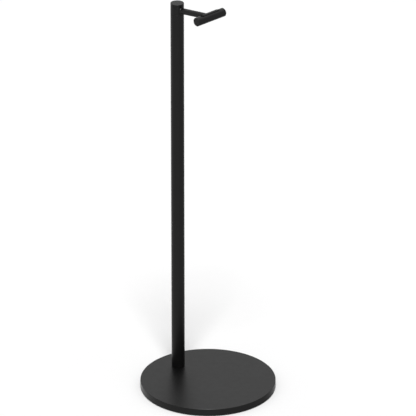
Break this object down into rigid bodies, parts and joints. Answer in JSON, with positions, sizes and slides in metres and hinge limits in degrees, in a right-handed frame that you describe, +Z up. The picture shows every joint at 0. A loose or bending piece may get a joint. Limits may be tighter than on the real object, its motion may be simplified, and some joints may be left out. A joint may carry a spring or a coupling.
{
  "type": "toilet paper holder",
  "caption": "Free-standing toilet paper holder: round weighted base, slim post off its centre, and a short inclined arm with a slotted crossbar on a head that turns.",
  "frame": {"origin": "centre of the base's underside, on the floor", "axes": "+Z up along the post; +X from the post towards the crossbar at rest; +Y along the crossbar"},
  "size_m": [0.23, 0.23, 0.6865],
  "materials": {
    "satin_black": "satin black coat on steel",
    "strip_rubber": "matte black",
    "pad_rubber": "matte black, fine grain",
    "zinc_steel": "bright zinc",
    "black_steel": "black oxide",
    "bush_nylon": "black nylon"
  },
  "bodies": {
    "stand": {"floor_pad": "pad_rubber", "base_plate": "satin_black", "base_washer": "zinc_steel", "base_lock_washer": "zinc_steel", "base_bolt": "black_steel", "locating_pin": "zinc_steel", "foot_plug": "zinc_steel", "post_tube": "satin_black", "swivel_sleeve": "zinc_steel", "swivel_bush": "bush_nylon", "wave_washer": "zinc_steel"},
    "head": {"head_hub": "satin_black", "retaining_washer": "zinc_steel", "retaining_screw": "black_steel", "arm_set_screw": "black_steel", "top_cap": "satin_black", "arm_collar": "satin_black", "arm": "satin_black", "crossbar": "satin_black", "grip_strip": "strip_rubber", "bar_set_screw": "black_steel"}
  },
  "joints": [
    {"name": "head_swivel", "type": "hinge", "parent": "stand", "child": "head", "pos_m": [-0.072, 0, 0.6637], "axis": [0, 0, 1], "continuous": true}
  ]
}
